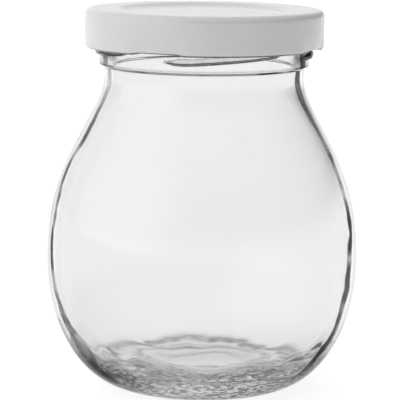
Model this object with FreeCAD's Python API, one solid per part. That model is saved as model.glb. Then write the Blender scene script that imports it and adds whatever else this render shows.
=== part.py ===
"""Glass canning jar with a twist-off lid.

A round-bellied glass jar stands on a flat ring with its base pushed up inside it.
Its mouth has a four-start finish: four glass lug threads on a plain band, with a
step under the band. A stamped steel lid sits on the mouth. Its rolled edge is
pressed flat in four places, and each flat is a lug that hooks under the high end
of a glass thread. A ring of sealing compound lies in the lid's channel, on the rim.

Millimetres, +Z up, origin at the centre of the standing ring. Azimuths are in
degrees from the front (-Y), counted anticlockwise as seen from above.
"""
import FreeCAD, Part
import math
import os

# ---- jar body ----
jar_height = 104.1            # standing ring to the rim
body_diameter = 86.4          # widest place of the belly
belly_height = 35.8           # where the belly is widest
standing_diameter = 41.4      # outer edge of the flat ring the jar stands on
standing_width = 2.4          # radial width of that ring
body_wall = 1.8               # glass in the belly and the shoulder
push_up = 2.4                 # rise of the base's middle above the table
floor_glass = 3.8             # glass at the middle of the base
shoulder_drop = 16.8          # from the foot of the neck down to the shoulder's knee
shoulder_reach = 6.9          # how far the knee stands out from the neck
shoulder_slope = 62.8         # degrees from level, along the knee

# ---- neck and finish ----
finish_diameter = 57.8        # plain wall that carries the threads
finish_glass = 3.6            # glass between that wall and the mouth
step_inset = 1.3              # how far the neck is set in under the finish
step_rise = 0.65              # height of the sloping step
neck_length = 2.7             # straight neck under the step
rim_round_out = 1.6
rim_round_in = 1.2
thread_count = 4
thread_height = 1.2           # how far a thread stands out
thread_root = 1.9             # its width on the wall
thread_crest = 0.9            # its width at the top
thread_lead = 0.035           # rise in mm per degree along the open stretch
thread_level = 14.0           # degrees of level run at the low end
thread_taper = 9.0            # degrees over which each end fades into the wall
thread_foot = 2.0             # plain wall between the threads' low ends and the step

# ---- lid ----
lid_height = 10.8
lid_sheet = 0.2
panel_recess = 0.7            # depth of the sunken middle
panel_radius = 21.8           # flat part of the sunken middle
panel_rise_width = 1.9        # radial width of the slope up to the channel
panel_bend = 0.8
shoulder_bend = 1.85          # from the top into the skirt
curl_diameter = 2.2           # rolled lower edge
curl_mouth = 0.75             # the roll's end stops this far from the skirt's face
curl_band = 4.6               # height of the lower part that the lugs shape
lug_azimuth = -23.0           # middle of the front lug
lug_width = 16.0              # degrees of full lug
lug_run_out = 7.0             # degrees on each side that blend into the roll
lug_thickness = 0.75
lug_lift = 0.5                # how far the lugs' underside is above the roll's
lug_dent = 0.6                # how far the skirt is drawn in at a lug

# ---- seal ----
seal_thickness = 0.9
seal_width = 6.2

# ---- clearances ----
curl_clearance = 0.65         # between the threads and the rolled edge
lug_wall_clearance = 0.5      # between a lug's tip and the glass wall
lug_clearance = 0.05          # between a lug and the thread above it
lug_entry = 1.15              # between a lug and the thread below it
seal_edge_clearance = 0.1     # between the seal's edge and the bend of the lid

# ---- levels and radii that follow ----
body_radius = body_diameter / 2
finish_radius = finish_diameter / 2
mouth_radius = finish_radius - finish_glass
neck_radius = finish_radius - step_inset
thread_radius = finish_radius + thread_height
rim_z = jar_height

seal_top = rim_z + seal_thickness
lid_top = seal_top + lid_sheet
lid_bottom = lid_top - lid_height
lid_radius = thread_radius + curl_clearance + curl_diameter
lug_bottom = lid_bottom + lug_lift
lug_top = lug_bottom + lug_thickness
lug_tip_radius = finish_radius + lug_wall_clearance

thread_pitch = 360.0 / thread_count
thread_half_at_lug = (thread_root - (thread_root - thread_crest)
                      * lug_wall_clearance / thread_height) / 2
thread_low_z = lug_bottom - lug_entry - thread_root / 2
thread_high_z = lug_top + lug_clearance + thread_half_at_lug
step_z = thread_low_z - thread_root / 2 - thread_foot
neck_top = step_z - step_rise
neck_foot = neck_top - neck_length
floor_z = push_up + floor_glass


def v(radius, z):
    """A point of a section, in the plane that is turned round the jar's axis."""
    return FreeCAD.Vector(radius, 0, z)


def line(a, b):
    return Part.LineSegment(v(*a), v(*b)).toShape()


def arc(a, mid, b):
    return Part.Arc(v(*a), v(*mid), v(*b)).toShape()


def curve(*points):
    bezier = Part.BezierCurve()
    bezier.setPoles([v(*p) for p in points])
    return bezier.toShape()


def quarter(centre, radius, start_deg, end_deg):
    """A circular arc of a section, from one angle to the other round a centre."""
    ends = [start_deg, (start_deg + end_deg) / 2, end_deg]
    points = [(centre[0] + radius * math.cos(math.radians(a)),
               centre[1] + radius * math.sin(math.radians(a))) for a in ends]
    return arc(*points)


def turned(shape, azimuth):
    """A section or solid turned from the +X plane to an azimuth."""
    shape = shape.copy()
    shape.rotate(FreeCAD.Vector(0, 0, 0), FreeCAD.Vector(0, 0, 1), azimuth - 90.0)
    return shape


def spin(edges, start=90.0, sweep=360.0):
    """A section turned round the jar's axis."""
    face = turned(Part.Face(Part.Wire(edges)), start)
    return face.revolve(FreeCAD.Vector(0, 0, 0), FreeCAD.Vector(0, 0, 1), sweep)


def around(shapes):
    """Copies at every thread's pitch round the axis."""
    copies = []
    for i in range(thread_count):
        for shape in shapes:
            copy = shape.copy()
            copy.rotate(FreeCAD.Vector(0, 0, 0), FreeCAD.Vector(0, 0, 1), i * thread_pitch)
            copies.append(copy)
    return copies


def ease(x):
    """0 to 1 with level ends."""
    x = min(max(x, 0.0), 1.0)
    return x * x * (3 - 2 * x)


def blend(a, b, w):
    return a + (b - a) * w


# ---- glass ----
def set_in(points, distance):
    """The curve inside another one: both ends move square to their own tangents."""
    (r0, z0), (r1, z1), (r2, z2), (r3, z3) = points
    moved = []
    for (ra, za), (rb, zb), pair in (((r0, z0), (r1, z1), points[:2]),
                                     ((r2, z2), (r3, z3), points[2:])):
        length = math.hypot(rb - ra, zb - za)
        dr, dz = -(zb - za) / length * distance, (rb - ra) / length * distance
        moved += [(r + dr, z + dz) for r, z in pair]
    return moved


def jar_blank():
    """The jar without its threads: one closed half section, turned."""
    stand = standing_diameter / 2
    slope = (math.cos(math.radians(shoulder_slope)), math.sin(math.radians(shoulder_slope)))
    knee = (neck_radius + shoulder_reach, neck_foot - shoulder_drop)
    fall = (body_radius - knee[0]) * 0.44 / slope[0]
    above = shoulder_drop * 0.52
    heel = [(stand, 0), (blend(stand, body_radius, 0.5), 0),
            (body_radius, belly_height * 0.4), (body_radius, belly_height)]
    shoulder = [heel[3], (body_radius, blend(belly_height, knee[1], 0.51)),
                (knee[0] + slope[0] * fall, knee[1] - slope[1] * fall), knee]
    throat = [knee, (knee[0] - slope[0] * above, knee[1] + slope[1] * above),
              (neck_radius, neck_foot - shoulder_drop * 0.3), (neck_radius, neck_foot)]

    inner_shoulder = set_in(shoulder, body_wall)
    inner_throat = set_in(throat, body_wall)
    inner_throat[2:] = [(mouth_radius, inner_throat[2][1]), (mouth_radius, neck_foot)]
    wall_in = body_radius - body_wall
    flat_in = standing_diameter / 2 - standing_width
    inner_heel = [(flat_in, floor_z), (blend(flat_in, wall_in, 0.7), floor_z - push_up * 0.3),
                  (wall_in, blend(floor_z, belly_height, 0.33)), (wall_in, belly_height)]

    # base and outside, from the middle of the base to the rim
    edges = [curve((0, push_up), (flat_in * 0.55, push_up), (flat_in * 0.8, push_up * 0.35),
                   (flat_in, 0)),
             line((flat_in, 0), (stand, 0)),
             curve(*heel), curve(*shoulder), curve(*throat),
             line((neck_radius, neck_foot), (neck_radius, neck_top)),
             line((neck_radius, neck_top), (finish_radius, step_z)),
             line((finish_radius, step_z), (finish_radius, rim_z - rim_round_out)),
             quarter((finish_radius - rim_round_out, rim_z - rim_round_out),
                     rim_round_out, 0, 90),
             line((finish_radius - rim_round_out, rim_z), (mouth_radius + rim_round_in, rim_z)),
             quarter((mouth_radius + rim_round_in, rim_z - rim_round_in),
                     rim_round_in, 90, 180)]
    # inside, from the mouth to the middle of the floor
    edges += [line((mouth_radius, rim_z - rim_round_in), (mouth_radius, neck_foot)),
              curve(*reversed(inner_throat)), curve(*reversed(inner_shoulder)),
              curve(*reversed(inner_heel)),
              line((flat_in, floor_z), (0, floor_z)),
              line((0, floor_z), (0, push_up))]
    return spin(edges)


def thread_section(fullness, z):
    """One cross section of a thread: flanks and a rounded crest, rooted in the wall."""
    out = blend(-0.35, thread_height, fullness)
    root = blend(0.3, 1.0, fullness) * thread_root / 2
    crest = blend(0.3, 1.0, fullness) * thread_crest / 2
    sunk = 0.9
    foot = root + (root - crest) * sunk / thread_height
    r_in, r_out = finish_radius - sunk, finish_radius + out
    round_depth = 0.25
    low, high = (r_out - round_depth, z - crest), (r_out - round_depth, z + crest)
    return Part.Wire([line((r_in, z + foot), (r_in, z - foot)),
                      line((r_in, z - foot), low),
                      arc(low, (r_out, z), high),
                      line(high, (r_in, z + foot))])


def thread(start):
    """A thread that runs up anticlockwise from an azimuth, with tapered ends."""
    lug_from = thread_pitch - (start - lug_azimuth) - lug_width / 2 - lug_run_out / 2
    length = thread_pitch - (start - lug_azimuth) + lug_width / 2 + lug_run_out / 2
    open_end = lug_from - 17.0
    open_rise = thread_lead * (open_end - thread_level)
    count = 30
    sections = []
    for i in range(count + 1):
        t = length * i / count
        rise = thread_lead * max(0.0, min(t, open_end) - thread_level)
        rise += (thread_high_z - thread_low_z - open_rise) * ease(
            (t - open_end) / (lug_from - open_end))
        fullness = ease(t / thread_taper) * ease((length - t) / thread_taper)
        sections.append(turned(thread_section(fullness, thread_low_z + rise), start + t))
    return Part.makeLoft(sections, True, False)


def jar():
    return jar_blank().fuse(around([thread(lug_azimuth + 1.3)]))


# ---- lid ----
def bent_line(points, radii):
    """Edges along a path with an arc at each inner corner."""
    edges, at = [], points[0]
    for i, radius in enumerate(radii, 1):
        (ar, az), (br, bz), (cr, cz) = points[i - 1], points[i], points[i + 1]
        la, lc = math.hypot(ar - br, az - bz), math.hypot(cr - br, cz - bz)
        ua, uc = ((ar - br) / la, (az - bz) / la), ((cr - br) / lc, (cz - bz) / lc)
        half = math.acos(max(-1.0, min(1.0, ua[0] * uc[0] + ua[1] * uc[1]))) / 2
        back = radius / math.tan(half)
        mid = (ua[0] + uc[0], ua[1] + uc[1])
        size = math.hypot(*mid)
        reach = radius / math.sin(half) - radius
        first = (br + ua[0] * back, bz + ua[1] * back)
        last = (br + uc[0] * back, bz + uc[1] * back)
        middle = (br + mid[0] / size * reach, bz + mid[1] / size * reach)
        edges += [line(at, first), arc(first, middle, last)]
        at = last
    return edges + [line(at, points[-1])]


def sheet_section(points, radii, sheet):
    """A bent sheet: its face follows the points, its back lies to the right of them.

    A sheet that starts up or down is cut level there.
    """
    dirs = []
    for (ar, az), (br, bz) in zip(points, points[1:]):
        size = math.hypot(br - ar, bz - az)
        dirs.append(((br - ar) / size, (bz - az) / size))
    back, back_radii = [], []
    for i, (r, z) in enumerate(points):
        d0, d1 = dirs[max(i - 1, 0)], dirs[min(i, len(dirs) - 1)]
        n0, n1 = (d0[1], -d0[0]), (d1[1], -d1[0])
        share = 1 + n0[0] * n1[0] + n0[1] * n1[1]
        back.append((r + sheet * (n0[0] + n1[0]) / share, z + sheet * (n0[1] + n1[1]) / share))
        if 0 < i < len(points) - 1:
            right_turn = d0[0] * d1[1] - d0[1] * d1[0] < 0
            back_radii.append(radii[i - 1] - sheet if right_turn else radii[i - 1] + sheet)
    if abs(dirs[0][1]) > 0.5:
        back[0] = (points[0][0] + math.copysign(sheet, dirs[0][1]), points[0][1])
    there = bent_line(points, radii)
    home = bent_line(back[::-1], back_radii[::-1])
    return there + [line(points[-1], back[-1])] + home + [line(back[0], points[0])]


def edge_section(w):
    """The skirt's lower part: a round roll at w = 0, a pressed lug at w = 1."""
    split = lid_bottom + curl_band
    face = blend(lid_radius, lid_radius - lug_dent, w)
    tip = blend(lid_radius - curl_diameter, lug_tip_radius, w)
    low = blend(lid_bottom, lug_bottom, w)
    tall = blend(curl_diameter, lug_thickness, w)
    end = blend(lid_radius - curl_mouth, lug_tip_radius + curl_diameter, w)
    bend = blend(curl_diameter * 0.48, lug_thickness * 0.46, w)
    heel_bend = blend(curl_diameter * 0.48, 0.9, w)
    points = [(lid_radius, split), (face, low), (tip, low), (tip, low + tall), (end, low + tall)]
    return sheet_section(points, [heel_bend, bend, bend], lid_sheet)


def lid():
    panel_z = lid_top - panel_recess
    split = lid_bottom + curl_band
    crown = spin(sheet_section([(0, panel_z), (panel_radius, panel_z),
                                (panel_radius + panel_rise_width, lid_top),
                                (lid_radius, lid_top), (lid_radius, split)],
                               [panel_bend, panel_bend, shoulder_bend], lid_sheet))
    reach = lug_width / 2 + lug_run_out
    run = [spin(edge_section(0), lug_azimuth + reach, thread_pitch - 2 * reach),
           spin(edge_section(1), lug_azimuth - lug_width / 2, lug_width)]
    steps = 7
    for side in (-1, 1):
        sections = [turned(Part.Wire(edge_section(ease(i / steps))),
                           lug_azimuth + side * (reach - lug_run_out * i / steps))
                    for i in range(steps + 1)]
        run.append(Part.makeLoft(sections, True, False))
    return crown.fuse(around(run), 0.001)


# ---- seal ----
def seal_ring():
    """Compound that fills the channel from its bend inwards, flat on the rim."""
    outer = lid_radius - shoulder_bend - seal_edge_clearance
    inner = outer - seal_width
    edge = seal_thickness * 0.35
    return spin([line((inner, seal_top), (outer, seal_top)),
                 line((outer, seal_top), (outer, rim_z + edge)),
                 line((outer, rim_z + edge), (outer - edge, rim_z)),
                 line((outer - edge, rim_z), (inner + edge, rim_z)),
                 line((inner + edge, rim_z), (inner, rim_z + edge)),
                 line((inner, rim_z + edge), (inner, seal_top))])


def save(node, shape):
    """One solid per node."""
    solids = shape.Solids
    print(node, "solids", len(solids), "valid", shape.isValid(),
          "volume %.1f mm3" % shape.Volume, "box", shape.BoundBox)
    (solids[0] if len(solids) == 1 else shape).exportStep("parts/%s.step" % node)


os.makedirs("parts", exist_ok=True)
save("glass_jar", jar())
save("lid", lid())
save("seal_ring", seal_ring())
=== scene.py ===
import math
import random

import bpy
from mathutils import Matrix, Vector


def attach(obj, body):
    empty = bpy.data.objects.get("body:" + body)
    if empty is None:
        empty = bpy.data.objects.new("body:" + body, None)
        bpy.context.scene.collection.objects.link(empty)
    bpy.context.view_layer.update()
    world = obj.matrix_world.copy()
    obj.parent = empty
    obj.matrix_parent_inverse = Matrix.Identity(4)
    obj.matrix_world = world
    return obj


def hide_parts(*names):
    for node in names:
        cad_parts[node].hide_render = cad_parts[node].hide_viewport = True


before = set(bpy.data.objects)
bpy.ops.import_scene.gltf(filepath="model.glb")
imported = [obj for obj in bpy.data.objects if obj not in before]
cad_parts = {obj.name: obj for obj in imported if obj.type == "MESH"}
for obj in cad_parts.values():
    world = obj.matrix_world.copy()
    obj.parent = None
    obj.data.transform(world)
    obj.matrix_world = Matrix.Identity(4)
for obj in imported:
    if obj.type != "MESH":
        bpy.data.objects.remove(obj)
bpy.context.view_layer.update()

MM = 0.001

# ---- sizes of the pieces, in millimetres, as the CAD part has them ----
RIM_Z = 104.1
BODY_R = 43.2
BELLY_Z = 35.8
STAND_R = 20.7
FLAT_IN = 18.3
WALL = 1.8
PUSH_UP = 2.4
FLOOR_Z = 6.2
FINISH_R = 28.9
MOUTH_R = 25.3
NECK_R = 27.6
KNEE = (34.5, 69.7)
SLOPE = math.radians(62.8)
NECK_FOOT = 86.5
NECK_TOP = 89.2
STEP_Z = 89.85
THREAD_LOW = 92.8
THREAD_HIGH = 96.442
THREAD_OUT = 1.2
THREAD_ROOT = 1.9
THREAD_START = -21.7
THREAD_LEN = 103.2
THREAD_TAPER = 9.0
THREAD_LEAD = 0.035
THREAD_RISES_AT = 14.0
THREAD_OPEN_TO = 58.2
THREAD_STEEP_TO = 75.2
LID_TOP = 105.2
LID_BOTTOM = 94.4
LID_R = 32.95
PANEL_R = 21.8
PANEL_DROP = 0.7
SHEET = 0.2
CURL = 2.2
LUG_TALL = 0.75
LUG_AZ = -23.0
SEAL_TOP = 105.0
SEAL_IN = 24.8
SEAL_OUT = 31.0
# mean radii of the wavy fold in the heel and of the clear floor's edge, in this scene only
FOLD_R = 25.6
CLEAR_R = 18.6


def ease(x):
    """A smooth step from 0 to 1, level at both ends."""
    x = min(max(x, 0.0), 1.0)
    return x * x * (3 - 2 * x)


def blend(a, b, w):
    return a + (b - a) * w


def bezier(p0, p1, p2, p3, n):
    """n points along a cubic, without its first one."""
    out = []
    for i in range(1, n + 1):
        t = i / n
        k = ((1 - t) ** 3, 3 * t * (1 - t) ** 2, 3 * t * t * (1 - t), t ** 3)
        out.append(tuple(sum(c * p[j] for c, p in zip(k, (p0, p1, p2, p3))) for j in (0, 1)))
    return out


def straight(a, b, n):
    """n points along a line, without its first one."""
    return [(blend(a[0], b[0], i / n), blend(a[1], b[1], i / n)) for i in range(1, n + 1)]


def round_arc(centre, radius, a0, a1, n):
    """n points along an arc in degrees, without its first one."""
    out = []
    for i in range(1, n + 1):
        a = math.radians(blend(a0, a1, i / n))
        out.append((centre[0] + radius * math.cos(a), centre[1] + radius * math.sin(a)))
    return out


def set_in(points, distance):
    """The four points of a cubic, moved square to its ends by a distance."""
    (r0, z0), (r1, z1), (r2, z2), (r3, z3) = points
    moved = []
    for (ra, za), (rb, zb), pair in (((r0, z0), (r1, z1), points[:2]),
                                     ((r2, z2), (r3, z3), points[2:])):
        length = math.hypot(rb - ra, zb - za)
        dr, dz = -(zb - za) / length * distance, (rb - ra) / length * distance
        moved += [(r + dr, z + dz) for r, z in pair]
    return moved


def spot(radius, azimuth, z):
    """A point at an azimuth counted anticlockwise from the front (-Y)."""
    a = math.radians(azimuth - 90.0)
    return (radius * math.cos(a) * MM, radius * math.sin(a) * MM, z * MM)


def revolve_mesh(name, rows, azimuths, place, closed=False, marks=()):
    """A mesh of rows turned round the axis; rows at radius 0 become one point.

    Each mark is a name and a function of a row and an azimuth, kept on the points."""
    verts, ids, seats = [], [], []
    for j, row in enumerate(rows):
        if row[0] < 1e-6:
            ids.append([len(verts)] * len(azimuths))
            verts.append(spot(0.0, 0.0, row[1]))
            seats.append((row, 0.0))
            continue
        line = []
        for az in azimuths:
            r, z = place(j, row, az)
            line.append(len(verts))
            verts.append(spot(r, az, z))
            seats.append((row, az))
        ids.append(line)
    faces = []
    count = len(azimuths)
    last = len(rows) if closed else len(rows) - 1
    for j in range(last):
        a, b = ids[j], ids[(j + 1) % len(rows)]
        for i in range(count):
            k = (i + 1) % count
            quad = [a[i], a[k], b[k], b[i]]
            face = []
            for q in quad:
                if q not in face:
                    face.append(q)
            if len(face) > 2:
                faces.append(face)
    mesh = bpy.data.meshes.new(name)
    mesh.from_pydata(verts, [], faces)
    mesh.validate()
    mesh.polygons.foreach_set("use_smooth", [True] * len(mesh.polygons))
    mesh.update()
    for mark, amount in marks:
        layer = mesh.attributes.new(mark, "FLOAT", "POINT")
        layer.data.foreach_set("value", [amount(row, az) for row, az in seats])
    obj = bpy.data.objects.new(name, mesh)
    bpy.context.scene.collection.objects.link(obj)
    return obj


# ---- the glass ----
rng = random.Random(41)
WAVES = [(rng.choice((1, 2, 2, 3, 3, 4, 5)), rng.uniform(0.06, 0.16), rng.uniform(0, 6.283),
          rng.uniform(0, 6.283), rng.uniform(0.5, 1.0)) for _ in range(9)]


def unevenness(az, along):
    """Slow waves of the inner face, -1 to 1, that close up round the axis."""
    a = math.radians(az)
    total = sum(size * math.sin(n * a + p) * math.sin(k * along + q)
                for n, k, p, q, size in WAVES)
    return total / 3.0


FOLDS = [(n, rng.uniform(0.5, 1.0), rng.uniform(0, 6.283)) for n in (5, 9, 13, 17, 21, 26)]


def folds(az, shift):
    """The ripple, -1 to 1, where the cold-wrinkled glass of the floor meets the wall."""
    a = math.radians(az)
    return sum(size * math.sin(n * a + p + shift * n ** 0.5) for n, size, p in FOLDS) / 2.6


RIPPLES = [(n, rng.uniform(-0.5, 0.5), rng.uniform(0, 6.283), rng.uniform(0.6, 1.0) * 8.0 / n)
           for n in (8, 11, 14, 17, 21, 25, 29, 34)]


def ripple(az, along):
    """Small hammered waves of the thick glass low down, about -1 to 1."""
    a = math.radians(az)
    return sum(size * math.sin(n * a + k * along + p) for n, k, p, size in RIPPLES) / 1.6


def peak(x, at, reach):
    """A soft bump of height 1."""
    return math.exp(-((x - at) / reach) ** 2)


def lobe(az, z, az0, z0, az_reach, z_reach):
    """A soft bump of height 1 round an azimuth and a height."""
    off = (az - az0 + 180.0) % 360.0 - 180.0
    return peak(off, 0.0, az_reach) * peak(z, z0, z_reach)


def fold_edge(az):
    """Radius of the wavy fold where the heel's cold-wrinkled glass ends."""
    drawn = lobe(az, 0, 132, 0, 22, 1) + lobe(az, 0, 228, 0, 22, 1)
    return FOLD_R + 0.9 * folds(az, 0.0) - 3.4 * drawn


def floor_edge(az):
    """Radius of the wavy edge of the clear floor."""
    return CLEAR_R + 0.6 * folds(az, 0.6)


# The glass's finish reads the marks below, and most of them are painted shade: dark lines, streaks
# and patches drawn into the glass.
# Several are placed round the axis so that the jar looks like its reference from the front; they
# don't change the shape of the glass.
# Where the painted dark line near an edge lies farther in: azimuth, height, reach of both, how much
FARTHER_IN = ((90, 30, 28, 13, 0.15), (90, 86, 26, 9, 0.30), (268, 86, 26, 9, 0.26),
              (95, 64, 24, 11, 0.08), (72, 12, 18, 6, 0.12), (268, 15, 26, 9, 0.13),
              (276, 28, 22, 6, 0.07), (272, 74, 26, 8, 0.06), (170, 22, 24, 12, 0.10),
              (205, 78, 28, 9, 0.16), (140, 52, 26, 12, 0.06), (232, 46, 22, 12, 0.05),
              (330, 64, 26, 12, 0.06), (300, 14, 22, 7, 0.14), (20, 20, 26, 10, 0.09),
              (35, 80, 26, 8, 0.14))


def painted_line_inset(row, az):
    """How much farther in the painted dark line lies, as if the wall of glass were deeper there."""
    if row[2] == "finish":
        return 0.11
    if row[2] not in ("heel", "out"):
        return 0.0
    base = 0.015 * unevenness(az, row[1] * 0.6)
    return base + sum(much * lobe(az, row[1], *where) for *where, much in FARTHER_IN)


def outside(row, az):
    """How dark the painted shade line near an edge is on the outer face; 0 on every other face."""
    r, z, kind = row
    if kind not in ("heel", "out", "finish"):
        return 0.0
    return min(1.0, 0.92 + 0.25 * unevenness(az, z * 0.8)) * (1.0 - 0.6 * lobe(az, z, 268, 86, 40, 8))


def thread_grey(az, z):
    """How much painted shade the step-like flanks of the threads get, 0 to 1."""
    out = thread_out(az, z) / THREAD_OUT
    if out <= 0.0:
        return 0.0
    return 0.5 + 0.45 * ease((0.85 - out) / 0.4)


def front(az):
    """1 on the jar's front, 0 on its back."""
    return ease(0.5 + 0.8 * math.cos(math.radians(az)))


def painted_line_shade(row, az):
    """How much painted shade darkens the threads, the step and the wavy lines round the floor, 0 to
    1.
    """
    r, z, kind = row
    near = 0.3 + 0.7 * front(az)
    if kind == "finish":
        return max(thread_grey(az, z), 0.8 * near * peak(z, STEP_Z + 0.42, 0.2))
    if kind in ("base", "stand"):
        return ease((r - 15.5) / 3.0) * (0.4 + 0.2 * folds(az, 1.4))
    if kind == "out" and r < FINISH_R + 0.01 and NECK_TOP - 0.3 < z < STEP_Z + 0.3:
        return near * max(0.9 * peak(z, NECK_TOP + 0.05, 0.12), 0.12)
    if kind != "in" or z > 16.0:
        return 0.0
    far = 0.5 - 0.5 * math.cos(math.radians(az + 8.0))
    fold, clear = fold_edge(az), floor_edge(az)
    outer = peak(r, fold, blend(1.6, 3.0, far)) * (0.9 + 0.6 * far + 0.3 * folds(az, 2.9))
    inner = peak(r, clear, 1.1) * (0.8 - 0.2 * far + 0.4 * folds(az, 1.1))
    between = ease((r - clear) / 1.5) * ease((fold - r) / 1.5)
    return min(1.0, max(0.0, outer, inner, 0.22 * between))


def frosted(row, az):
    """How frosted the face is: the stippled standing ring, the base and the low heel."""
    if row[2] == "heel":
        return 0.10 * ease((13.0 - row[1]) / 3.5)
    return {"base": 0.28, "stand": 0.45}.get(row[2], 0.0)


def painted_streak_share(row, az):
    """How much painted shade streaks the thick glass of the heel, 0 to 1."""
    r, z, kind = row
    if kind != "heel":
        return 0.0
    patch = 0.84 + 0.16 * (lobe(az, 0, 150, 0, 26, 1) + lobe(az, 0, 20, 0, 20, 1))
    top = blend(7.5, 13.0, front(az)) + 1.2 * folds(az, 0.3)
    return ease((top - z) / 3.0) * min(1.0, patch)


def painted_patch_shade(row, az):
    """How dark the painted shade patches at the sides of the heel and the finish are, 0 to 1."""
    r, z, kind = row
    if kind == "finish":
        return 0.9 * lobe(az, z, 298, 93.3, 17, 2.0) + 0.85 * lobe(az, z, 62, 92.3, 11, 2.4)
    if kind != "heel":
        return 0.0
    left = lobe(az, z, 305, 6.5, 30, 5.0) + 0.5 * lobe(az, z, 285, 12.0, 12, 6.0)
    right = 0.7 * lobe(az, z, 62, 7.0, 17, 5.5)
    low = 0.4 * lobe(az, 0, 40, 0, 14, 1) * ease((8.0 - z) / 3.0)
    return min(1.0, max(left, right, low))


def thread_mid(t):
    """Height of a thread's middle, t degrees from its start: slow, steep, then level."""
    rise = THREAD_LEAD * max(0.0, min(t, THREAD_OPEN_TO) - THREAD_RISES_AT)
    steep = THREAD_HIGH - THREAD_LOW - THREAD_LEAD * (THREAD_OPEN_TO - THREAD_RISES_AT)
    along = (t - THREAD_OPEN_TO) / (THREAD_STEEP_TO - THREAD_OPEN_TO)
    return THREAD_LOW + rise + steep * ease(along)


def thread_out(az, z):
    """How far the four lug threads stand out of the finish at a place."""
    best = 0.0
    for i in range(4):
        t = (az - THREAD_START - 90.0 * i) % 360.0
        if t > THREAD_LEN:
            continue
        full = ease(t / THREAD_TAPER) * ease((THREAD_LEN - t) / THREAD_TAPER)
        half = THREAD_ROOT / 2 * blend(0.3, 1.0, full)
        off = abs(z - thread_mid(t)) / half
        if off < 1.0:
            best = max(best, (THREAD_OUT * full + 0.02) * (1 - off ** 2.6) ** 0.62)
    return best


def jar_rows():
    """The closed half section as (radius, height, kind), from the base's middle out."""
    run, climb = math.cos(SLOPE), math.sin(SLOPE)
    fall = (BODY_R - KNEE[0]) * 0.44 / run
    drop = NECK_FOOT - KNEE[1]
    heel = [(STAND_R, 0), (blend(STAND_R, BODY_R, 0.5), 0), (BODY_R, BELLY_Z * 0.4),
            (BODY_R, BELLY_Z)]
    shoulder = [heel[3], (BODY_R, blend(BELLY_Z, KNEE[1], 0.51)),
                (KNEE[0] + run * fall, KNEE[1] - climb * fall), KNEE]
    throat = [KNEE, (KNEE[0] - run * drop * 0.52, KNEE[1] + climb * drop * 0.52),
              (NECK_R, NECK_FOOT - drop * 0.3), (NECK_R, NECK_FOOT)]
    in_shoulder = set_in(shoulder, WALL)
    in_throat = set_in(throat, WALL)
    in_throat[2:] = [(MOUTH_R, in_throat[2][1]), (MOUTH_R, NECK_FOOT)]
    wall_in = BODY_R - WALL
    in_heel = [(FLAT_IN, FLOOR_Z), (blend(FLAT_IN, wall_in, 0.7), FLOOR_Z - PUSH_UP * 0.3),
               (wall_in, blend(FLOOR_Z, BELLY_Z, 0.33)), (wall_in, BELLY_Z)]
    rows = [(0.0, PUSH_UP, "base")]

    def add(points, kind):
        rows.extend((r, z, kind) for r, z in points)

    add(bezier((0, PUSH_UP), (FLAT_IN * 0.55, PUSH_UP), (FLAT_IN * 0.8, PUSH_UP * 0.35),
               (FLAT_IN - 0.15, 0.05), 22), "base")
    add(straight((FLAT_IN - 0.15, 0.05), (FLAT_IN + 0.15, 0.0), 2), "base")
    add(straight((FLAT_IN + 0.15, 0.0), (STAND_R, 0), 4), "stand")
    add(bezier(*heel, 46), "heel")
    add(bezier(*shoulder, 22), "out")
    add(bezier(*throat, 20), "out")
    add(straight((NECK_R, NECK_FOOT), (NECK_R, NECK_TOP - 0.12), 4), "out")
    add(bezier((NECK_R, NECK_TOP - 0.12), (NECK_R, NECK_TOP), (NECK_R, NECK_TOP),
               (NECK_R + 0.12, NECK_TOP + 0.06), 4), "out")
    add(straight((NECK_R + 0.12, NECK_TOP + 0.06), (FINISH_R - 0.12, STEP_Z - 0.06), 3), "out")
    add(bezier((FINISH_R - 0.12, STEP_Z - 0.06), (FINISH_R, STEP_Z), (FINISH_R, STEP_Z),
               (FINISH_R, STEP_Z + 0.12), 4), "out")
    add(straight((FINISH_R, STEP_Z + 0.12), (FINISH_R, THREAD_LOW - 1.1), 9), "finish")
    add(straight((FINISH_R, THREAD_LOW - 1.1), (FINISH_R, THREAD_HIGH + 1.1), 38), "finish")
    add(straight((FINISH_R, THREAD_HIGH + 1.1), (FINISH_R, RIM_Z - 1.6), 4), "finish")
    add(round_arc((FINISH_R - 1.6, RIM_Z - 1.6), 1.6, 0, 90, 7), "out")
    add(straight((FINISH_R - 1.6, RIM_Z), (MOUTH_R + 1.2, RIM_Z), 2), "out")
    add(round_arc((MOUTH_R + 1.2, RIM_Z - 1.2), 1.2, 90, 180, 7), "out")
    add(straight((MOUTH_R, RIM_Z - 1.2), (MOUTH_R, NECK_FOOT), 8), "bore")
    add(bezier(*reversed(in_throat), 20), "in")
    add(bezier(*reversed(in_shoulder), 20), "in")
    add(bezier(*reversed(in_heel), 66), "in")
    add(straight((FLAT_IN, FLOOR_Z), (0, FLOOR_Z), 16), "in")
    return rows


def jar_place(j, row, az):
    """Where a row's point goes: threads outside, waves, folds and ripples inside."""
    r, z, kind = row
    if kind == "finish":
        r += thread_out(az, z)
    elif kind == "in":
        low = ease((34.0 - z) / 24.0)
        wave = unevenness(az, z * 0.9 + r * 0.7)
        inside = 1.0 if r > FLAT_IN and z < BELLY_Z else ease((r - 14.0) / 4.0)
        ridge = peak(r, fold_edge(az), 1.5) * (1.0 + 0.35 * folds(az, 1.7))
        dip = peak(r, floor_edge(az), 1.3)
        if z < 20.0:
            z += (0.42 * ridge - 0.30 * dip) * inside
        small = ripple(az, z + r) * blend(0.012, 0.13, ease((24.0 - z) / 12.0))
        small *= ease((r - 20.0) / 5.0) * ease((60.0 - z) / 20.0)
        r += wave * blend(0.05, 0.22, low) * ease(r / 12.0) * ease((z - 7.0) / 8.0)
        r += small * (0.5 + 0.5 * ease((z - 6.0) / 8.0))
        z -= 0.8 * small * ease((16.0 - z) / 8.0)
    return r, z


def turn_round(steps):
    return [i * 360.0 / steps for i in range(steps)]


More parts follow.
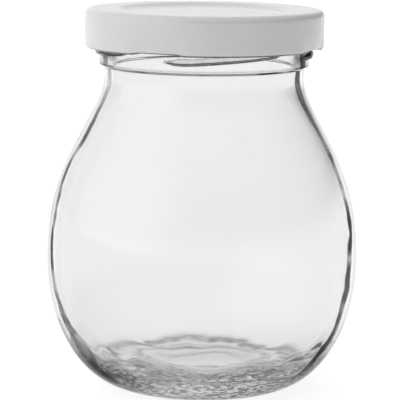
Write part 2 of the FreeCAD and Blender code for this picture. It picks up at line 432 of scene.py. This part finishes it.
jar = revolve_mesh("glass_jar_look", jar_rows(), turn_round(288), jar_place,
                   marks=(("outside", outside), ("painted_line_inset", painted_line_inset), ("painted_line_shade", painted_line_shade),
                          ("painted_streak_share", painted_streak_share), ("painted_patch_shade", painted_patch_shade), ("frosted", frosted)))


# ---- the lid ----
def bent_points(points, radii, per_bend, per_run):
    """A path through the points with each corner but the ends rounded."""
    out, at = [points[0]], points[0]
    for i, radius in enumerate(radii, 1):
        (ar, az), (br, bz), (cr, cz) = points[i - 1], points[i], points[i + 1]
        la, lc = math.hypot(ar - br, az - bz), math.hypot(cr - br, cz - bz)
        ua, uc = ((ar - br) / la, (az - bz) / la), ((cr - br) / lc, (cz - bz) / lc)
        half = math.acos(max(-1.0, min(1.0, ua[0] * uc[0] + ua[1] * uc[1]))) / 2
        back = radius / math.tan(half)
        bis = (ua[0] + uc[0], ua[1] + uc[1])
        size = math.hypot(*bis)
        centre = (br + bis[0] / size * radius / math.sin(half),
                  bz + bis[1] / size * radius / math.sin(half))
        first = (br + ua[0] * back, bz + ua[1] * back)
        last = (br + uc[0] * back, bz + uc[1] * back)
        out += straight(at, first, per_run)
        a0 = math.atan2(first[1] - centre[1], first[0] - centre[0])
        a1 = math.atan2(last[1] - centre[1], last[0] - centre[0])
        turn = (a1 - a0 + math.pi) % (2 * math.pi) - math.pi
        for k in range(1, per_bend + 1):
            a = a0 + turn * k / per_bend
            out.append((centre[0] + radius * math.cos(a), centre[1] + radius * math.sin(a)))
        at = last
    return out + straight(at, points[-1], per_run)


def sheet_loop(points, radii, sheet, per_bend, per_run):
    """Both faces of a bent sheet as one path there and back."""
    dirs = []
    for (ar, az), (br, bz) in zip(points, points[1:]):
        size = math.hypot(br - ar, bz - az)
        dirs.append(((br - ar) / size, (bz - az) / size))
    back, back_radii = [], []
    for i, (r, z) in enumerate(points):
        d0, d1 = dirs[max(i - 1, 0)], dirs[min(i, len(dirs) - 1)]
        n0, n1 = (d0[1], -d0[0]), (d1[1], -d1[0])
        share = 1 + n0[0] * n1[0] + n0[1] * n1[1]
        back.append((r + sheet * (n0[0] + n1[0]) / share, z + sheet * (n0[1] + n1[1]) / share))
        if 0 < i < len(points) - 1:
            right = d0[0] * d1[1] - d0[1] * d1[0] < 0
            back_radii.append(radii[i - 1] + (-sheet if right else sheet))
    return (bent_points(points, radii, per_bend, per_run)
            + bent_points(back[::-1], back_radii[::-1], per_bend, per_run))


def lid_section(w):
    """The whole lid's half section: round roll at w = 0, pressed lug at w = 1."""
    lug_tip = FINISH_R + 0.5
    face = blend(LID_R, LID_R - 0.6, w)
    tip = blend(LID_R - CURL, lug_tip, w)
    low = blend(LID_BOTTOM, LID_BOTTOM + 0.5, w)
    tall = blend(CURL, LUG_TALL, w)
    end = blend(LID_R - 0.75, lug_tip + CURL, w)
    bend = blend(CURL * 0.48, LUG_TALL * 0.46, w)
    heel = blend(CURL * 0.48, 0.9, w)
    points = [(0.0, LID_TOP - PANEL_DROP), (PANEL_R, LID_TOP - PANEL_DROP),
              (PANEL_R + 1.9, LID_TOP), (LID_R, LID_TOP), (LID_R, LID_BOTTOM + 4.6),
              (face + 1e-4, low), (tip, low), (tip, low + tall), (end, low + tall)]
    return sheet_loop(points, [0.8, 0.8, 1.85, 6.0, heel, bend, bend], SHEET, 9, 3)


def lug_share(az):
    """1 on a lug, 0 on the round roll between two lugs."""
    off = abs((az - LUG_AZ + 45.0) % 90.0 - 45.0)
    return ease((15.0 - off) / 7.0)


lid_sections = {}


def lid_place(j, row, az):
    w = round(lug_share(az), 5)
    if w not in lid_sections:
        lid_sections[w] = lid_section(w)
    return lid_sections[w][j]


def painted_roll_shadow(row, az):
    """Painted shadow, 1 under the rolled edge and on the lid's inner face, 0 on its white outside."""
    return ease((LID_BOTTOM + 0.62 - row[1]) / 0.35)


lid = revolve_mesh("lid_look", lid_section(0.0), turn_round(360), lid_place,
                   marks=(("painted_roll_shadow", painted_roll_shadow),))


# ---- the seal ----
def plain_place(j, row, az):
    return row[0], row[1]


def seal_rows():
    """The seal's closed section, flat on top and round at its two lower edges."""
    side, round_z = RIM_Z + 0.315, RIM_Z + 0.15
    return [(SEAL_IN + 0.1, SEAL_TOP), (SEAL_OUT, SEAL_TOP), (SEAL_OUT, side),
            (SEAL_OUT - 0.1, round_z), (SEAL_OUT - 0.315, RIM_Z), (SEAL_IN + 0.315, RIM_Z),
            (SEAL_IN + 0.1, round_z), (SEAL_IN, side), (SEAL_IN, SEAL_TOP)]


seal = revolve_mesh("seal_look", seal_rows(), turn_round(120), plain_place, closed=True)


# ---- finishes ----
class Net:
    """A node tree with short ways to add the nodes that the finishes and the light use."""

    def __init__(self, tree, coordinate="Object"):
        self.tree = tree
        self.place = self.add("TexCoord").outputs[coordinate]

    def add(self, kind, **settings):
        made = self.tree.nodes.new("ShaderNode" + kind)
        for key, value in settings.items():
            if hasattr(made, key):
                setattr(made, key, value)
            else:
                made.inputs[key.replace("_", " ")].default_value = value
        return made

    def link(self, source, target):
        self.tree.links.new(source, target)

    def math(self, kind, a, b):
        made = self.add("Math", operation=kind)
        for value, socket in ((a, made.inputs[0]), (b, made.inputs[1])):
            if isinstance(value, (int, float)):
                socket.default_value = value
            else:
                self.link(value, socket)
        return made.outputs[0]

    def product(self, first, *others):
        for other in others:
            first = self.math("MULTIPLY", first, other)
        return first

    def rest_of(self, share):
        return self.math("SUBTRACT", 1.0, share)

    def between(self, source, low, high, out_low=0.0, out_high=1.0):
        """A smooth step from out_low to out_high as the source goes from low to high."""
        made = self.add("MapRange", interpolation_type="SMOOTHSTEP", From_Min=low,
                        From_Max=high, To_Min=out_low, To_Max=out_high)
        self.link(source, made.inputs["Value"])
        return made.outputs["Result"]

    def grey_ramp(self, source, stops):
        ramp = self.add("ValToRGB")
        ramp.color_ramp.interpolation = "EASE"
        ramp.color_ramp.elements[0].position = stops[0][0]
        ramp.color_ramp.elements[1].position = stops[-1][0]
        for position, _ in stops[1:-1]:
            ramp.color_ramp.elements.new(position)
        for element, (_, grey) in zip(ramp.color_ramp.elements, stops):
            element.color = (grey, grey, grey, 1)
        self.link(source, ramp.inputs["Fac"])
        return ramp.outputs["Color"]

    def tinted(self, colour, tint):
        mix = self.add("Mix", data_type="RGBA", blend_type="MULTIPLY")
        mix.inputs["Factor"].default_value = 1.0
        self.link(colour, mix.inputs["A"])
        self.link(tint, mix.inputs["B"])
        return mix.outputs["Result"]

    def grey(self, value):
        made = self.add("CombineColor")
        for channel in ("Red", "Green", "Blue"):
            self.link(value, made.inputs[channel])
        return made.outputs["Color"]

    def mark(self, name):
        return self.add("Attribute", attribute_name=name).outputs["Fac"]

    def noise(self, scale, detail, flatten=1.0):
        """Noise in the piece's own space, squeezed along its height by flatten."""
        mapping = self.add("Mapping")
        mapping.inputs["Scale"].default_value = (1.0, 1.0, flatten)
        noise = self.add("TexNoise", Scale=scale, Detail=detail)
        self.link(self.place, mapping.inputs["Vector"])
        self.link(mapping.outputs["Vector"], noise.inputs["Vector"])
        return noise.outputs["Fac"]

    def height(self):
        split = self.add("SeparateXYZ")
        self.link(self.place, split.inputs[0])
        return split.outputs["Z"]

    def towards(self, direction, low, high, out_low, out_high):
        """From out_low to out_high as the place turns towards a direction."""
        dot = self.add("VectorMath", operation="DOT_PRODUCT")
        dot.inputs[1].default_value = Vector(direction).normalized()
        self.link(self.place, dot.inputs[0])
        return self.between(dot.outputs["Value"], low, high, out_low, out_high)


def material(name, **values):
    mat = bpy.data.materials.new(name)
    mat.use_nodes = True
    shader = mat.node_tree.nodes["Principled BSDF"]
    for key, value in values.items():
        shader.inputs[key.replace("_", " ")].default_value = value
    return mat, shader


def edge_line(net, edge_on):
    """Painted shade: a thin uneven dark line just inside the edge, and a paler painted strip outside
    it.
    """
    wander = net.between(net.noise(90.0, 2.0), 0.3, 0.7, -0.025, 0.025)
    uneven = net.mark("painted_line_inset")
    line_at = net.math("ADD", net.math("ADD", edge_on, wander), uneven)
    inner_end = net.math("SUBTRACT", line_at, net.math("MULTIPLY", uneven, 0.6))
    line = net.product(net.between(line_at, 0.705, 0.735), net.between(inner_end, 0.80, 0.775),
                       net.between(net.noise(75.0, 3.0), 0.35, 0.55, 0.5, 1.0),
                       net.mark("outside"), net.between(net.height(), 0.004, 0.010))
    strip = net.math("ADD", net.between(edge_on, 0.77, 0.86, 0.0, 0.24),
                     net.between(edge_on, 0.92, 0.98, 0.0, 0.22))
    return net.math("MAXIMUM", line, net.product(strip, net.mark("outside")))


def clear_glass():
    """Clear glass with painted shade: greyer at its edges, with dark streaks low down and dark
    painted lines on the threads, step and floor.
    """
    mat, shader = material("clear_glass", Base_Color=(0.985, 0.99, 0.988, 1), Roughness=0.0,
                           IOR=1.5, Transmission_Weight=1.0, Specular_Tint=(0.5, 0.5, 0.5, 1))
    net = Net(mat.node_tree)
    edge_on = net.add("LayerWeight", Blend=0.5).outputs["Facing"]
    # painted shade: the glass's grey tint deepens towards its edges by Layer Weight
    tone = net.grey_ramp(edge_on, ((0.0, 0.875), (0.62, 0.85), (0.80, 0.70), (1.0, 0.60)))
    line = edge_line(net, edge_on)
    # painted shade: dark streaks in the thick glass of the heel
    streaks = net.between(net.noise(620.0, 3.0, 3.0), 0.42, 0.58, 0.22, 0.90)
    painted_streaks = net.product(net.rest_of(streaks), net.mark("painted_streak_share"),
                           net.between(edge_on, 0.20, 0.34))
    # painted shade: dark patches at the sides of the heel and the finish
    patches = net.product(net.between(net.noise(210.0, 2.0, 2.0), 0.34, 0.52, 0.70, 0.98),
                          net.between(edge_on, 0.36, 0.52), net.mark("painted_patch_shade"))
    low_glass = net.product(net.rest_of(painted_streaks), net.rest_of(patches))
    # painted shade on the threads, the step and the wavy lines round the floor
    painted_lines = net.product(net.mark("painted_line_shade"),
                          net.between(net.noise(260.0, 3.0), 0.3, 0.6, 0.7, 1.0), 0.88)
    shade = net.product(net.rest_of(painted_lines), low_glass, net.rest_of(line))
    net.link(net.tinted(tone, net.grey(shade)), shader.inputs["Base Color"])
    # the painted shade also drives a metallic share with a black base, which takes the reflection
    # away too, so the painted dark stays dark
    net.link(net.math("MAXIMUM", line, net.rest_of(low_glass)), shader.inputs["Metallic"])
    net.link(net.mark("frosted"), shader.inputs["Roughness"])
    return mat


def white_lacquer():
    """White gloss lacquer, a little cloudy, with painted shadow where the rolled edge tucks under."""
    mat, shader = material("white_lacquer", Base_Color=(0.58, 0.58, 0.58, 1), Roughness=0.28,
                           IOR=1.45, Coat_Weight=0.3, Coat_Roughness=0.08)
    net = Net(mat.node_tree)
    # painted shadow: the lacquer goes nearly black under the rolled edge
    tone = net.grey_ramp(net.mark("painted_roll_shadow"), ((0.0, 0.56), (1.0, 0.05)))
    cloud = net.grey_ramp(net.noise(60.0, 3.0), ((0.3, 0.97), (0.7, 1.0)))
    net.link(net.tinted(tone, cloud), shader.inputs["Base Color"])
    net.link(net.between(net.noise(160.0, 4.0), 0.3, 0.7, 0.24, 0.32),
             shader.inputs["Roughness"])
    return mat


def seal_compound():
    """Off-white sealing compound, finely mottled."""
    mat, shader = material("seal_compound", Base_Color=(0.72, 0.72, 0.7, 1), Roughness=0.5)
    net = Net(mat.node_tree)
    net.link(net.grey_ramp(net.noise(500.0, 3.0), ((0.3, 0.66), (0.7, 0.76))),
             shader.inputs["Base Color"])
    net.link(net.between(net.noise(300.0, 3.0), 0.3, 0.7, 0.42, 0.58),
             shader.inputs["Roughness"])
    return mat


for piece, finish, replaced, slot in ((jar, clear_glass, "glass_jar", "glass"),
                                      (lid, white_lacquer, "lid", "lid_lacquer"),
                                      (seal, seal_compound, "seal_ring", "seal")):
    piece.data.materials.append(finish())
    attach(piece, "root")
    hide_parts(replaced)


# ---- floor and light ----
HALF_FLOOR, FLOOR_AT = 12.0, -0.0001
corners = [(x * HALF_FLOOR, y * HALF_FLOOR, FLOOR_AT)
           for x, y in ((-1, -1), (1, -1), (1, 1), (-1, 1))]
floor_mesh = bpy.data.meshes.new("floor")
floor_mesh.from_pydata(corners, [], [(0, 1, 2, 3)])
floor = bpy.data.objects.new("floor", floor_mesh)
bpy.context.scene.collection.objects.link(floor)
floor_mesh.materials.append(material("pale_floor", Base_Color=(0.27, 0.27, 0.27, 1),
                                     Roughness=1.0, Specular_IOR_Level=0.0,
                                     Emission_Color=(1, 1, 1, 1), Emission_Strength=0.86)[0])


def light_tent(world):
    """Bright overhead and from the left, and darker at the front opening and the right."""
    world.use_nodes = True
    net = Net(world.node_tree, "Generated")
    wall = net.product(net.towards((-0.1, 1.0, 0.0), -0.1, 0.8, 0.55, 1.05),
                       net.towards((0.42, -1.0, 0.0), 0.2, 0.95, 1.0, 0.04),
                       net.towards((1.0, 0.2, 0.0), 0.25, 0.95, 1.0, 0.08),
                       net.towards((0.5, 0.87, 0.0), 0.9, 0.99, 1.0, 0.5))
    roof = net.between(net.height(), 0.45, 0.85, 0.0, 0.8)
    near_floor = net.between(net.height(), 0.0, 0.2, 1.0, 0.0)
    left = net.towards((-0.9, -0.4, 0.3), 0.6, 0.98, 0.0, 1.1)
    level = net.math("MAXIMUM", net.math("ADD", wall, roof), near_floor)
    level = net.math("ADD", net.math("MINIMUM", level, 1.12), left)
    back = world.node_tree.nodes["Background"]
    net.link(level, back.inputs["Strength"])
    back.inputs["Color"].default_value = (1, 1, 1, 1)


bpy.context.scene.world = bpy.data.worlds.new("studio")
light_tent(bpy.context.scene.world)


# ---- camera ----
EYE = Vector((-0.00071, -0.6133, 0.14804))
AIM = Vector((-0.00071, 0.0, 0.05177))
ROLL = math.radians(0.675)

camera = bpy.data.objects.new("camera", bpy.data.cameras.new("camera"))
camera.data.sensor_width = 36.0
camera.data.lens = 200.4
camera.data.clip_end = 50.0
look = (AIM - EYE).to_track_quat("-Z", "Y").to_matrix().to_4x4()
camera.matrix_world = Matrix.Translation(EYE) @ look @ Matrix.Rotation(ROLL, 4, "Z")
bpy.context.scene.collection.objects.link(camera)
bpy.context.scene.camera = camera
bpy.context.scene.view_settings.view_transform = "Standard"
bpy.context.scene.view_settings.look = "None"

# light that runs along inside the glass turns back many times
cycles = bpy.context.scene.cycles
cycles.max_bounces = 32
cycles.glossy_bounces = 16
cycles.transmission_bounces = 32
